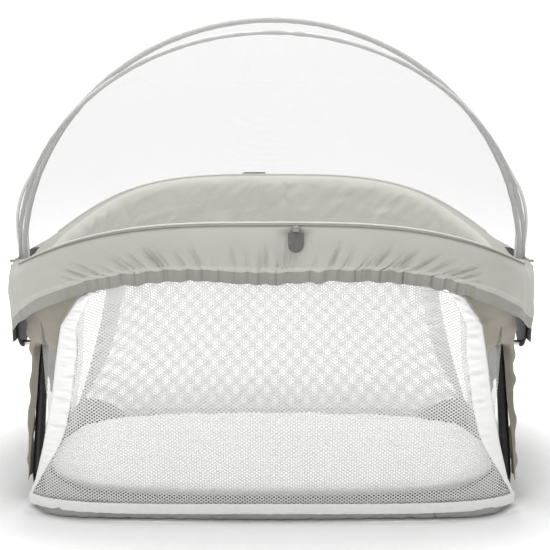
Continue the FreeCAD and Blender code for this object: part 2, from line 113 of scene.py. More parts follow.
def rim_line(count, reach=0.74):
    """Front rim from the right hub to the left one: x, y, outward normal and length from mid front."""
    t = np.radians(-90 + (90 - reach) * np.sin(np.linspace(math.pi / 2, -math.pi / 2, 20001)))
    x, y = superellipse(t, RIM_W, RIM_D, RIM_N)
    x = x * (1 - RIM_TAPER * np.abs(y) / RIM_D)
    length = np.concatenate([[0], np.cumsum(np.hypot(np.diff(x), np.diff(y)))])
    even = np.linspace(0, length[-1], count)
    x, y = np.interp(even, length, x), np.interp(even, length, y)
    tx, ty = np.gradient(x), np.gradient(y)
    size = np.hypot(tx, ty)
    return x, y, -ty / size, tx / size, length[-1] / 2 - even


def hoop_point(angle, lean, top, width=HOOP_W):
    """Point of a hoop's oval; angle in radians, 0 at the right spring point."""
    v = HOOP_SPRING + (top - HOOP_SPRING) * np.sin(angle)
    a = math.radians(lean)
    return np.stack([width * np.cos(angle), -v * math.sin(a), HUB_Z + v * math.cos(a)], -1)


def along_rows(controls, t):
    """Catmull-Rom curve through controls [rows, k, d] at parameters t from 0 to k - 1."""
    k = controls.shape[1]
    i = np.clip(np.floor(t).astype(int), 0, k - 2)
    f = (t - i)[None, :, None]
    p0, p1 = controls[:, np.maximum(i - 1, 0)], controls[:, i]
    p2, p3 = controls[:, i + 1], controls[:, np.minimum(i + 2, k - 1)]
    return 0.5 * (2 * p1 + (p2 - p0) * f + (2 * p0 - 5 * p1 + 4 * p2 - p3) * f ** 2
                  + (3 * p1 - p0 - 3 * p2 + p3) * f ** 3)


# ---- meshes ---------------------------------------------------------------------------------------
def new_object(name, data):
    obj = bpy.data.objects.new(name, data)
    bpy.context.scene.collection.objects.link(obj)
    return obj


def grid_mesh(name, points, flip=False, uv=None, close=False):
    """Smooth surface over points [rows, columns, 3]. Its UVs are lengths along the cloth in metres."""
    points = np.asarray(points, float)
    if close:
        points = np.concatenate([points, points[:1]])
    rows, columns = points.shape[:2]
    number = np.arange(rows * columns).reshape(rows, columns)
    a, b = number[:-1, :-1], number[1:, :-1]
    c, d = number[1:, 1:], number[:-1, 1:]
    quads = np.stack([a, d, c, b] if flip else [a, b, c, d], -1).reshape(-1, 4)
    if uv is None:
        step_u = np.linalg.norm(np.diff(points, axis=0), axis=2).mean(1)
        step_v = np.linalg.norm(np.diff(points, axis=1), axis=2).mean(0)
        u = np.concatenate([[0], np.cumsum(step_u)])[:, None] + np.zeros(columns)
        v = np.concatenate([[0], np.cumsum(step_v)])[None, :] + np.zeros((rows, 1))
        uv = np.stack([u, v], -1)
    mesh = bpy.data.meshes.new(name)
    mesh.from_pydata((points.reshape(-1, 3) * 0.001).tolist(), [], quads.tolist())
    layer = mesh.uv_layers.new(name="cloth")
    layer.data.foreach_set("uv", (uv.reshape(-1, 2)[quads.ravel()] * 0.001).astype(np.float32).ravel())
    mesh.polygons.foreach_set("use_smooth", np.ones(len(quads), bool))
    mesh.validate()
    mesh.update()
    return new_object(name, mesh)


def tube_mesh(name, line, radius, sides=10, capped=True):
    """Round cord along a line [n, 3]; radius is a number or one per point."""
    line = np.asarray(line, float)
    radius = np.broadcast_to(np.asarray(radius, float), (len(line),))
    tangent = np.gradient(line, axis=0)
    tangent /= np.linalg.norm(tangent, axis=1)[:, None]
    up = np.array([0, 0, 1.0]) if abs(tangent[0, 2]) < 0.9 else np.array([0, 1.0, 0])
    side = np.cross(tangent[0], up)
    rings = []
    for i, t in enumerate(tangent):
        side = side - t * side.dot(t)
        side /= np.linalg.norm(side)
        other = np.cross(t, side)
        angle = np.linspace(0, 2 * math.pi, sides + 1)
        ring = line[i] + radius[i] * (np.cos(angle)[:, None] * side + np.sin(angle)[:, None] * other)
        rings.append(ring)
    if capped:
        rings = [np.repeat(line[:1], sides + 1, 0)] + rings + [np.repeat(line[-1:], sides + 1, 0)]
    obj = grid_mesh(name, rings)
    weld(obj)
    return obj


def weld(obj, distance=1e-5):
    modifier = obj.modifiers.new("weld", "WELD")
    modifier.merge_threshold = distance
    bake_modifiers(obj)


def bake_modifiers(obj):
    """Applies every modifier of a mesh."""
    graph = bpy.context.evaluated_depsgraph_get()
    mesh = bpy.data.meshes.new_from_object(obj.evaluated_get(graph))
    obj.modifiers.clear()
    obj.data = mesh
    mesh.polygons.foreach_set("use_smooth", np.ones(len(mesh.polygons), bool))


def thicken(obj, millimetres, offset=-1.0):
    modifier = obj.modifiers.new("thickness", "SOLIDIFY")
    modifier.thickness = millimetres * 0.001
    modifier.offset = offset
    bake_modifiers(obj)


def mirror_points(points, x=False, y=False):
    return np.asarray(points) * np.array([-1 if x else 1, -1 if y else 1, 1])


# ---- materials ------------------------------------------------------------------------------------
class Nodes:
    """Short way to build a node tree: every call adds a node and returns its first output."""

    def __init__(self, name):
        self.material = bpy.data.materials.new(name)
        self.material.use_nodes = True
        self.tree = self.material.node_tree
        self.shader = self.tree.nodes["Principled BSDF"]

    def node(self, kind, inputs=None, **settings):
        node = self.tree.nodes.new(kind)
        for key, value in settings.items():
            setattr(node, key, value)
        for key, value in (inputs or {}).items():
            self.put(node.inputs[key], value)
        return node

    def put(self, socket, value):
        if isinstance(value, bpy.types.NodeSocket):
            self.tree.links.new(value, socket)
        else:
            socket.default_value = value

    def maths(self, operation, a, b=0.0, c=0.0):
        return self.node("ShaderNodeMath", {0: a, 1: b, 2: c}, operation=operation).outputs[0]

    def noise(self, vector, scale, detail=3.0, rough=0.55):
        settings = {"Vector": vector, "Scale": scale, "Detail": detail, "Roughness": rough}
        return self.node("ShaderNodeTexNoise", settings).outputs["Fac"]

    def place(self, kind="Object"):
        return self.node("ShaderNodeTexCoord").outputs[kind]

    def scaled(self, vector, scale, shift=(0, 0, 0)):
        return self.node("ShaderNodeVectorMath", {0: vector, 1: scale, 2: shift},
                         operation="MULTIPLY_ADD").outputs[0]

    def between(self, value, low, high, out_low=0.0, out_high=1.0):
        settings = {"Value": value, "From Min": low, "From Max": high, "To Min": out_low, "To Max": out_high}
        return self.node("ShaderNodeMapRange", settings, interpolation_type="SMOOTHSTEP").outputs[0]

    def colours(self, factor, a, b):
        node = self.node("ShaderNodeMix", data_type="RGBA")
        self.put(node.inputs[0], factor)
        self.put(node.inputs[6], (*a, 1))
        self.put(node.inputs[7], (*b, 1))
        return node.outputs[2]

    def bump(self, height, distance, strength=1.0, normal=None):
        settings = {"Height": height, "Distance": distance, "Strength": strength}
        if normal is not None:
            settings["Normal"] = normal
        return self.node("ShaderNodeBump", settings).outputs[0]

    def finish(self, **values):
        names = {"colour": "Base Color", "roughness": "Roughness", "metallic": "Metallic", "alpha": "Alpha",
                 "normal": "Normal", "sheen": "Sheen Weight", "sheen_rough": "Sheen Roughness",
                 "specular": "Specular IOR Level", "coat": "Coat Weight", "scatter": "Subsurface Weight",
                 "transmission": "Transmission Weight", "anisotropy": "Anisotropic"}
        for key, value in values.items():
            self.put(self.shader.inputs[names[key]], value)
        return self.material


def darker(colour, share):
    return tuple(c * share for c in colour)


def woven(name, colour, thread=0.55, spread=0.1, rough=0.85, depth=0.00008, sheen=0.15, crumple=0.0):
    """Plain weave with uneven threads and soft colour clouds. thread is the pitch in millimetres."""
    n = Nodes(name)
    cloth = n.place("UV")
    solid = n.place()
    parts = n.node("ShaderNodeSeparateXYZ", {0: n.scaled(cloth, (1000 / thread,) * 3)}).outputs
    across = n.maths("SINE", n.maths("MULTIPLY", parts[0], 2 * math.pi))
    along = n.maths("SINE", n.maths("MULTIPLY", parts[1], 2 * math.pi))
    weave = n.maths("MULTIPLY", across, along)
    slubs = n.noise(n.scaled(cloth, (30, 900, 1)), 1.0, 2.0)
    slubs_2 = n.noise(n.scaled(cloth, (900, 30, 1)), 1.0, 2.0)
    threads = n.maths("ADD", n.maths("ADD", slubs, slubs_2), n.maths("MULTIPLY", weave, 0.22))
    clouds = n.noise(solid, 9.0, 5.0, 0.6)
    tone = n.maths("ADD", n.maths("MULTIPLY", clouds, 0.75), n.maths("MULTIPLY", threads, 0.25))
    tint = n.colours(n.between(tone, 0.33, 0.8), darker(colour, 1 - spread), darker(colour, 1 + spread * 0.7))
    normal = n.bump(threads, depth)
    if crumple:
        normal = n.bump(n.noise(solid, 55.0, 5.0, 0.62), crumple, 1.0, normal)
    return n.finish(colour=tint, roughness=rough, normal=normal, sheen=sheen, sheen_rough=0.5, specular=0.25)


def holed(name, colour, pitch=(7.0, 5.5), radius=1.5, backing=1.0):
    """Warp-knit mesh: a staggered lattice of round holes that are really open."""
    n = Nodes(name)
    cloth = n.place("UV")
    nearest = None
    for shift in (0.0, 0.5):
        spot = n.scaled(cloth, (1000 / pitch[0], 1000 / pitch[1], 0), (shift, shift, 0))
        cell = n.node("ShaderNodeVectorMath", {0: spot}, operation="FRACTION").outputs[0]
        middle = n.scaled(cell, (pitch[0], pitch[1], 0), (-pitch[0] / 2, -pitch[1] / 2, 0))
        distance = n.node("ShaderNodeVectorMath", {0: middle}, operation="LENGTH").outputs["Value"]
        nearest = distance if nearest is None else n.maths("MINIMUM", nearest, distance)
    solid = n.between(nearest, radius - 0.22, radius + 0.22)
    alpha = n.maths("MULTIPLY", solid, backing)
    lip = n.between(nearest, radius, radius + 1.1)
    knit = n.noise(n.scaled(cloth, (2200, 700, 1)), 1.0, 2.0)
    # Colour darkens toward each hole's edge along the lip mask that also dips the bump: painted shade at the hole
    # rims; the knit noise is uneven yarn tone.
    tint = n.colours(n.maths("MULTIPLY_ADD", knit, 0.35, n.maths("MULTIPLY", lip, 0.65)),
                     darker(colour, 0.86), colour)
    normal = n.bump(n.maths("ADD", lip, n.maths("MULTIPLY", knit, 0.4)), 0.0004)
    return n.finish(colour=tint, roughness=0.8, alpha=alpha, normal=normal, sheen=0.1, specular=0.2)


def net_cloth(name, colour, pitch=1.3, thread=0.16, veil=0.06):
    """Fine insect net: thin crossing threads with open squares between them."""
    n = Nodes(name)
    parts = n.node("ShaderNodeSeparateXYZ", {0: n.scaled(n.place("UV"), (1000 / pitch,) * 3)}).outputs
    lines = []
    for k in (0, 1):
        near = n.maths("ABSOLUTE", n.maths("SUBTRACT", n.maths("FRACT", parts[k]), 0.5))
        lines.append(n.between(near, 0.5 - thread, 0.5 - thread * 0.5))
    threads = n.maths("MAXIMUM", lines[0], lines[1])
    clouds = n.noise(n.place(), 6.0, 3.0)
    alpha = n.maths("MULTIPLY_ADD", threads, n.maths("MULTIPLY_ADD", clouds, 0.12, 0.14), veil)
    tint = n.colours(clouds, darker(colour, 0.96), colour)
    return n.finish(colour=tint, roughness=0.6, alpha=alpha, normal=n.bump(threads, 0.0001),
                    sheen=0.1, specular=0.3)


def moulded(name, colour, rough=0.5, grain=900.0, depth=0.00004, specular=0.45):
    """Moulded plastic or rubber with a fine spark-eroded grain and slight scuffs."""
    n = Nodes(name)
    solid = n.place()
    fine = n.noise(solid, grain, 3.0)
    scuffs = n.between(n.noise(solid, 38.0, 6.0, 0.7), 0.55, 0.75)
    tint = n.colours(scuffs, colour, tuple(c * 0.9 + 0.012 for c in colour))
    roughness = n.maths("MULTIPLY_ADD", scuffs, 0.12, rough)
    return n.finish(colour=tint, roughness=roughness, normal=n.bump(fine, depth), specular=specular)


def metal(name, colour, rough=0.3, coated=False, metallic=1.0):
    """Plated or powder-coated metal with drawn lines and small pits."""
    n = Nodes(name)
    solid = n.place()
    fine = n.noise(solid, 1400.0 if coated else 500.0, 4.0)
    rubbed = n.between(n.noise(solid, 60.0, 5.0, 0.65), 0.52, 0.72)
    tint = n.colours(rubbed, colour, tuple(c * 0.85 + 0.02 for c in colour))
    roughness = n.maths("MULTIPLY_ADD", fine, 0.14, n.maths("MULTIPLY_ADD", rubbed, 0.1, rough - 0.07))
    return n.finish(colour=tint, roughness=roughness, metallic=metallic,
                    normal=n.bump(fine, 0.00004 if coated else 0.00002), specular=0.5)


def webbing(name, colour, rib=1.1):
    """Woven tape: ribs across it and a fine herringbone of threads."""
    n = Nodes(name)
    parts = n.node("ShaderNodeSeparateXYZ", {0: n.scaled(n.place(), (1000.0,) * 3)}).outputs
    ribs = n.maths("SINE", n.maths("MULTIPLY", parts[2], 2 * math.pi / rib))
    zigzag = n.maths("SINE", n.maths("MULTIPLY_ADD", n.maths("PINGPONG", parts[0], 1.6), 3.0,
                                     n.maths("MULTIPLY", parts[2], 5.0)))
    height = n.maths("ADD", ribs, n.maths("MULTIPLY", zigzag, 0.6))
    worn = n.noise(n.place(), 160.0, 4.0)
    # The tint follows the rib and herringbone height that also drives the bump, painted shade in the grooves,
    # plus worn noise for real wear.
    tint = n.colours(n.between(n.maths("MULTIPLY_ADD", height, 0.12, worn), 0.25, 0.75),
                     darker(colour, 0.8), darker(colour, 1.2))
    return n.finish(colour=tint, roughness=0.8, normal=n.bump(height, 0.00012), sheen=0.2, specular=0.2)


GRAY = (0.430, 0.425, 0.386)
TAUPE = (0.300, 0.276, 0.228)
WHITE = (0.80, 0.80, 0.79)
materials = {
    "gray_fabric": woven("gray_fabric", GRAY, spread=0.05, sheen=0.2, crumple=0.0006),
    # casing: the gray cloth darkened to 0.62, painted shade in the gathered casing at the skirt's foot
    "casing": woven("gray_casing_painted_shade", darker(GRAY, 0.62), spread=0.08, crumple=0.0008),
    # inner band: the gray cloth lightened by 1.35, painted light on the rim's inner face
    "inner_band_painted_light": woven("inner_band_painted_light", darker(GRAY, 1.35), spread=0.06, crumple=0.0008),
    # hem: the gray cloth darkened to 0.66, painted shade along the skirts' lower hem
    "hem": woven("gray_hem_painted_shade", darker(GRAY, 0.66), spread=0.08, crumple=0.0006),
    # piping cord; its light cream tone is a painted highlight along the rim's top roll
    "piping": woven("piping_painted_highlight", (0.62, 0.61, 0.565), thread=0.4, spread=0.05),
    "zip_tape": woven("zip_tape", (0.20, 0.20, 0.19), thread=0.7, spread=0.15),
    "taupe_fabric": woven("taupe_fabric", TAUPE, spread=0.1, crumple=0.0010),
    "bar_fabric": woven("bar_fabric", (0.34, 0.34, 0.33), spread=0.1, crumple=0.0008),
    "white_mesh": holed("white_mesh", WHITE),
    "white_trim": woven("white_trim", (0.83, 0.83, 0.82), thread=0.6, spread=0.03, crumple=0.0003),
    "floor_cloth": woven("floor_cloth", (0.10, 0.10, 0.098), thread=0.7, spread=0.15),
    "mat_fabric": woven("mat_fabric", (0.92, 0.92, 0.905), thread=0.8, spread=0.02, sheen=0.4, crumple=0.0006),
    "foam": woven("foam", (0.86, 0.82, 0.68), thread=1.6, spread=0.06),
    "dome_net": net_cloth("dome_net", (0.50, 0.51, 0.51)),
    "black_tube": metal("black_tube", (0.012, 0.012, 0.012), 0.36, coated=True, metallic=0.0),
    "hoop_rod": moulded("hoop_rod", (0.62, 0.63, 0.62), 0.35, 300.0),
    "steel": metal("steel", (0.62, 0.62, 0.60), 0.28),
    "zip_metal": metal("zip_metal", (0.26, 0.26, 0.25), 0.35, coated=True, metallic=0.6),
    "tab_gray": webbing("tab_gray", (0.135, 0.137, 0.130)),
    "foot_rubber": moulded("foot_rubber", (0.20, 0.20, 0.195), 0.75, 700.0, 0.00006, 0.3),
    "button_plastic": moulded("button_plastic", (0.22, 0.22, 0.22), 0.45),
    "black_plastic": moulded("black_plastic", (0.014, 0.014, 0.015), 0.48),
    "hoop_sleeve": woven("hoop_sleeve", (0.44, 0.44, 0.43), thread=0.5, spread=0.04),
}

slot_of = {part["node"]: part["material_slot"] for part in frame["record"]["subparts"]}
for node_name, node_object in frame["nodes"].items():
    node_object.data.materials.clear()
    node_object.data.materials.append(materials[slot_of[node_name]])


# ---- rim cover: inner band, top roll, skirt and gathered casing ------------------------------------
GATHER_END = 277.0       # the elastic runs this far each side of mid front, along X


def gathers(seed, length, low=5.0, high=22.0):
    """Irregular pleat places along a line from -length to length, each with a depth and a reach."""
    rng = np.random.RandomState(seed)
    places = [-length]
    while places[-1] < length:
        tight = rng.rand() < 0.45
        places.append(places[-1] + (rng.uniform(low, low * 1.6) if tight else rng.uniform(high * 0.6, high)))
    count = len(places)
    return np.array(places), rng.uniform(0.5, 1.0, count), rng.uniform(0.25, 1.0, count) ** 1.6


def skirt_depth(x, y):
    return 73 + 54 * (1 - np.minimum(1, np.abs(y) / RIM_D)) ** 1.3 + 8 * np.exp(-(x / 120) ** 2)


def fan(s, h, seed, length):
    """Gather folds at length s and height h above the casing's top: billows with narrow valleys."""
    places, depths, reaches = gathers(seed, length)
    origin = s.copy()
    for _ in range(6):
        lean = 2.0 * (np.abs(origin) / 250) ** 1.25 * np.sign(origin)
        origin = s - np.minimum(np.abs(lean), 2.6) * np.sign(lean) * np.maximum(h, 0)
    cell = np.clip(np.searchsorted(places, origin) - 1, 0, len(places) - 2)
    left, right = places[cell], places[cell + 1]
    q = np.clip((origin - left) / (right - left), 0, 1)
    billow = np.sqrt(np.clip(4 * q * (1 - q), 0, 1)) - 0.8
    ridge = np.exp(-((origin - left) / 2.2) ** 2) - np.exp(-((origin - left - 3.4) / 2.4) ** 2)
    reach = 8 + 46 * reaches[cell]
    fade = np.exp(-(np.maximum(h, 0) / reach) ** 2)
    size = np.minimum(1, (right - left) / 14) * depths[cell]
    near = np.exp(-(np.maximum(h, 0) / 10) ** 2)
    return billow * size * (4.6 * near + 2.2 * fade) + ridge * fade * (1 - near * 0.5) * 3.6 * depths[cell]


def rim_fabric(end):
    """One padded rim cover as a single cloth, with its seams drawn by the casing and hem pieces."""
    back = end == "rear"
    seed = 31 if back else 7
    x, y, nx, ny, s = rim_line(920 if not back else 640)
    pad = RIM_PAD + (RIM_PAD_HUB - RIM_PAD) * np.maximum(0, 1 + y / 150)
    drop = skirt_depth(x, y)
    gather = smooth(np.abs(x), GATHER_END + 12, GATHER_END - 14) * smooth(y, -180, -230)
    hub = smooth(y, -210, -70)
    side = mixed(-3.0, -14.0, hub)
    near = smooth(y, -130, -62)     # the cloth flares out to meet the piece of skirt over the hub
    band = 93.0 if back else np.minimum(93.0, drop - 9)
    rows = [(pad - 3, band), (pad - 2, 62), (pad - 1, 34), (pad - 1.5, 12), (pad - 6, 2.2), (pad * 0.55, -1.0),
            (9, -0.5), (mixed(5.0, 0.5, near), 0.2), (mixed(2.6, -6.5, near), 2.4), (mixed(0.4,
                                                                                           -11.5, near), 6.5),
            (mixed(-2.2, side * 0.98, hub), 13),
            (mixed(side - 1.5, -5.2, gather), 24), (mixed(side - 2.0, -7.0, gather), drop * 0.5),
            (mixed(side - 2.0, -6.5, gather), drop * 0.68), (mixed(side - 1.0, -1.5, gather), drop - 22),
            (mixed(side, 6.0, gather), drop - 16.5), (mixed(side + 0.4, 9.5, gather), drop - 9),
            (mixed(side + 0.8, 11.0, gather), drop)]
    controls = np.stack([np.stack([np.broadcast_to(np.asarray(a, float), x.shape),
                                   np.broadcast_to(np.asarray(b, float), x.shape)], -1) for a, b in rows], 1)
    spread = [5, 5, 5, 4, 4, 4, 3, 3, 3, 3, 5, 6, 7, 8, 5, 5, 5]
    t = np.concatenate([np.linspace(i, i + 1, n, endpoint=False) for i, n in enumerate(spread)] + [[17.0]])
    section = along_rows(controls, t)
    inset, below = section[..., 0], section[..., 1]
    ss, tt = np.broadcast_to(s[:, None], inset.shape), np.broadcast_to(t[None, :], inset.shape)
    above = (drop[:, None] - 17) - below
    folds = fan(ss, above, seed, 470)
    skirt = smooth(tt, 10.2, 12.0)
    casing = smooth(tt, 14.6, 15.2)
    g = gather[:, None]
    soft = ripples(seed + 1, ss, below, 90, 1.4) * 1.1 + ripples(seed + 2, ss, below, 34, 1.6) * 0.45
    out = skirt * g * folds * mixed(1.35, 1.15, casing) + skirt * (soft * mixed(0.8, 0.5, g))
    out = out + skirt * (1 - g) * ripples(seed + 3, ss, below, 55, 0.8) * 0.7
    top_seam = np.exp(-((below - (drop[:, None] - 17.3)) / 1.1) ** 2) * g * 1.6
    inner = smooth(tt, 3.6, 2.6)
    hang = ripples(seed + 4, ss, below * 0.5, 75, 1.5) * 1.6 + ripples(seed + 5, ss + below, below, 30, 2.0) * 0.6
    if not back:        # the cloth lies flatter behind the hanging tab
        dent = np.exp(-((x - FRONT_ZIP_X) / 22) ** 4)[:, None]
        inset = inset + 6.0 * dent * smooth(below, 4, 11) * smooth(below, 60, 36)
    inset = inset - out + top_seam + inner * np.abs(hang) * 0.8
    below = below + casing * g * ripples(seed + 6, ss, ss * 0,
                                         24) * 0.9 + inner * ripples(seed + 8, ss, ss * 0, 120)
    px = x[:, None] - nx[:, None] * inset
    py = y[:, None] - ny[:, None] * inset
    pz = rim_top(x)[:, None] - below
    points = np.stack([px, py, pz], -1)
    obj = grid_mesh(f"{end}_rim_fabric", mirror_points(points, y=back), flip=back)
    obj.data.materials.append(materials["gray_fabric"])
    obj.data.materials.append(materials["casing"])
    obj.data.materials.append(materials["hem"])
    obj.data.materials.append(materials["inner_band_painted_light"])
    columns = len(t) - 1
    index = np.zeros((len(x) - 1, columns), int)
    middle = (t[:-1] + t[1:]) / 2
    # casing rows take the darker cloth, painted shade
    index[:, middle > 15.05] = 1
    # inner band rows take the lighter cloth, painted light
    index[:, middle < 4.5] = 3
    plain = gather[:-1] < 0.5
    # casing rows with no gather take the darker hem cloth, painted shade
    index[np.ix_(plain, middle > 15.05)] = 2
    obj.data.polygons.foreach_set("material_index", index.ravel())
    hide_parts(f"{end}_rim_cover")
    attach(obj, f"{end}_rail")


def rim_trim(end, inset, below, radius, name, material, limit):
    """A cord or piping along the rim at a fixed inset and depth."""
    x, y, nx, ny, _ = rim_line(420, 0.8)
    keep = np.abs(x) < limit
    x, y, nx, ny = (v[keep] for v in (x, y, nx, ny))
    line = np.stack([x - nx * inset, y - ny * inset, rim_top(x) - below], -1)
    obj = tube_mesh(f"{end}_{name}", mirror_points(line, y=end == "rear"), radius, 8)
    obj.data.materials.append(materials[material])
    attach(obj, f"{end}_rail")


for end_name in ("front", "rear"):
    rim_fabric(end_name)
    # the piping's light colour is a painted highlight along the rim's top
    rim_trim(end_name, 7.0, -1.6, 1.7, "piping", "piping", limit=372)
    rim_trim(end_name, 2.6, 1.2, 1.0, "zip_coil", "zip_tape", limit=366)


# ---- hub skirts -----------------------------------------------------------------------------------
def hub_skirt(side):
    """The plain piece of skirt over a hub, with a rolled top and a doubled hem whose darker tone is painted
    shade.
    """
    y = np.linspace(-58, 58, 60)
    rows = [(399.4, -2), (401.5, 1.2), (404.2, 4.5), (405.2, 12), (405.6, 40), (405.6, 75), (405.3, 100),
            (405.0, 110), (404.6, 126)]
    controls = np.array(rows)[None].repeat(len(y), 0)
    t = np.linspace(0, 8, 48)
    section = along_rows(controls, t)
    yy = np.broadcast_to(y[:, None], section.shape[:2])
    wave = ripples(5, yy, section[..., 1], 60, 1.2) * 0.4 * smooth(t, 1.5, 3)[None]
    px = np.minimum(section[..., 0] + wave, 406.4) - 1.5 * (np.abs(yy) / 58) ** 4
    pz = RIM_END_Z - section[..., 1] + 1.2 * ripples(6, yy, yy * 0, 70) * smooth(t, 6, 8)[None]
    points = np.stack([px, yy, pz], -1)
    obj = grid_mesh(f"{side}_hub_skirt_cloth", mirror_points(points, x=side == "left"), flip=side == "right")
    obj.data.materials.append(materials["gray_fabric"])
    obj.data.materials.append(materials["hem"])
    index = np.zeros((len(y) - 1, len(t) - 1), int)
    # hem rows take the darker cloth, painted shade
    index[:, t[:-1] > 6.6] = 1
    obj.data.polygons.foreach_set("material_index", index.ravel())
    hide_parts(f"{side}_hub_skirt")
    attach(obj, "root")


def hub_cap(side):
    """Top and inner band over a hub, with a slot that the two hoops pass through."""
    y = np.linspace(-58, 58, 44)
    sign = -1 if side == "left" else 1
    for part, rows in (("inner", [(345.6, -46), (345.2, -20), (345.8, -4), (350, 1.4), (362, 2.2), (376, 2.0),
                                  (381.5, 1.0), (382.6, -3), (382.8, -8)]),
                       ("outer", [(398.4, -7), (398.8, -2), (400.2, 0.6), (402.4, 0.2), (403.6, -2)])):
        section = along_rows(np.array(rows, float)[None].repeat(len(y), 0), np.linspace(0, len(rows) - 1, 40))
        yy = np.broadcast_to(y[:, None], section.shape[:2])
        lift = 5.0 * (np.abs(yy) / 58) ** 2 + 0.7 * ripples(8, yy, section[..., 0], 40)
        px = section[..., 0] - (3.2 * (np.abs(yy) / 58) ** 2 if part == "inner" else 0)
        points = np.stack([sign * px, yy, RIM_END_Z + section[..., 1] + lift], -1)
        obj = grid_mesh(f"{side}_hub_cap_{part}", points, flip=side == "left")
        obj.data.materials.append(materials["gray_fabric"])
        thicken(obj, 0.8)
        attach(obj, "root")


for side_name in ("left", "right"):
    hub_skirt(side_name)
    hub_cap(side_name)


# ---- front and rear mesh walls --------------------------------------------------------------------
WALL_EDGE_Z = np.array([20.0, 25, 40, 55, 110, 188, 240, 300, 342, 360])
WALL_EDGE_X = np.array([360.0, 359, 353, 346, 330, 311, 302, 290, 262, 236])


def wall_edge(z):
    return np.interp(z, WALL_EDGE_Z, WALL_EDGE_X)


def wall_surface(x, z):
    """Y of the front wall: from the floor bar's plan at the bottom to the rim's inside at the top."""
    rise = np.clip((z - 20) / 380, 0, 1)
    half_x = mixed(387, 366, rise)
    half_y = mixed(233, 314, rise ** 0.92)
    power = mixed(5.0, 4.2, rise)
    inside = np.clip(1 - (np.abs(x) / half_x) ** power, 0.0, 1)
    return -half_y * inside ** (1 / power)


def wall_points(u, z):
    """u from -1 to 1 across the wall between its edges."""
    x = u * wall_edge(z)
    return np.stack([x, wall_surface(x, z), z], -1)


def wall_top(x):
    """The walls reach up inside the skirt."""
    return rim_top(x) - 62


def front_wall(end):
    back = end == "rear"
    u = np.linspace(-1, 1, 150)
    v = np.linspace(0, 1, 60)
    uu, vv = np.meshgrid(u, v, indexing="ij")
    z = 21 + vv * (wall_top(uu * 300) - 21)
    points = wall_points(uu, z)
    points[..., 1] += 1.2 * ripples(3 + back, points[..., 0], z, 150) * vv * (1 - vv) * 4
    lengths = np.concatenate([[0], np.cumsum(np.linalg.norm(np.diff(points[75], axis=0), axis=1))])
    uv = np.stack([points[..., 0], lengths[None, :] + 0 * uu], -1)
    wall = grid_mesh(f"{end}_wall_mesh", mirror_points(points, y=back), flip=back, uv=uv)
    wall.data.materials.append(materials["white_mesh"])
    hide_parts(f"{end}_mesh_wall")
    pieces = [wall]
    for side in (1, -1):
        w = np.linspace(0, 1, 14)
        zz = np.linspace(21, 352, 240)
        width = mixed(5.0, 30.0, smooth(zz, 30, 150))
        width = mixed(width, 17.0, smooth(zz, 250, 345))
        ww, z2 = np.meshgrid(w, zz, indexing="ij")
        x = side * (wall_edge(z2) - ww * width[None, :])
        fine = (ripples(17 + side, z2, ww * 6, 7.5, 1.0, 14) * 0.75 + ripples(19, z2, ww * 10, 16) * 0.5)
        puff = 1.6 + 2.2 * np.sqrt(np.clip(4 * ww * (1 - ww), 0, 1)) + fine * np.clip(ww * 2, 0, 1) * 0.8
        strip_points = np.stack([x, wall_surface(x, z2) - puff, z2], -1)
        strip = grid_mesh(f"{end}_{'right' if side > 0 else 'left'}_wall_strip",
                          mirror_points(strip_points, y=back), flip=(side > 0) != back)
        strip.data.materials.append(materials["white_trim"])
        thicken(strip, 1.2)
        pieces.append(strip)
    w = np.linspace(0, 1, 12)
    uu, ww = np.meshgrid(np.linspace(-1, 1, 320), w, indexing="ij")
    z3 = 12.5 + ww * 17
    x = uu * 360.5
    swell = 3.0 + 1.8 * np.sqrt(np.clip(4 * ww * (1 - ww), 0, 1)) + 0.35 * ripples(23, x, ww * 8, 14)
    hem_points = np.stack([x, wall_surface(x, z3) - swell, z3], -1)
    hem = grid_mesh(f"{end}_wall_hem", mirror_points(hem_points, y=back), flip=back)
    hem.data.materials.append(materials["white_trim"])
    thicken(hem, 1.0)
    pieces.append(hem)
    for piece in pieces:
        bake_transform(piece)


for end_name in ("front", "rear"):
    front_wall(end_name)


# ---- end walls ------------------------------------------------------------------------------------
def end_wall(side):
    """Mesh between the legs and inside the hub."""
    v = np.linspace(0, 1, 70)
    z = mixed(20, 330, v)
    x = np.interp(z, END_WALL[:, 0], END_WALL[:, 1]) - 0.5
    half = np.interp(z, [20, 60, 110, 160, 200, 270, 330], [150, 150, 158, 168, 184, 200, 204])
    u = np.linspace(-1, 1, 70)
    uu, zz = np.meshgrid(u, z, indexing="ij")
    y = uu * half[None, :]
    leg_y = (HUB_Z - zz) / (HUB_Z - BAR_Z) * CORNER_Y
    inside = mixed(331.5, 343.0, smooth(zz, 150, 60))
    between = smooth(leg_y - np.abs(y), 12, 52)
    xx = mixed(np.minimum(inside, x[None, :]), x[None, :], between)
    plan = np.clip(1 - (np.abs(y) / mixed(223, 300, (zz - 20) / 380)) ** 3.3, 0.05, 1) ** (1 / 3.3)
    xx = np.minimum(xx, 387 * plan)
    points = np.stack([xx, y, zz], -1)
    wall = grid_mesh(f"{side}_wall_mesh", mirror_points(points, x=side == "left"), flip=side == "right",
                     uv=np.stack([y, zz], -1))
    wall.data.materials.append(materials["white_mesh"])
    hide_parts(f"{side}_mesh_wall")
    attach(wall, "root")
    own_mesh(wall)


for side_name in ("left", "right"):
    end_wall(side_name)


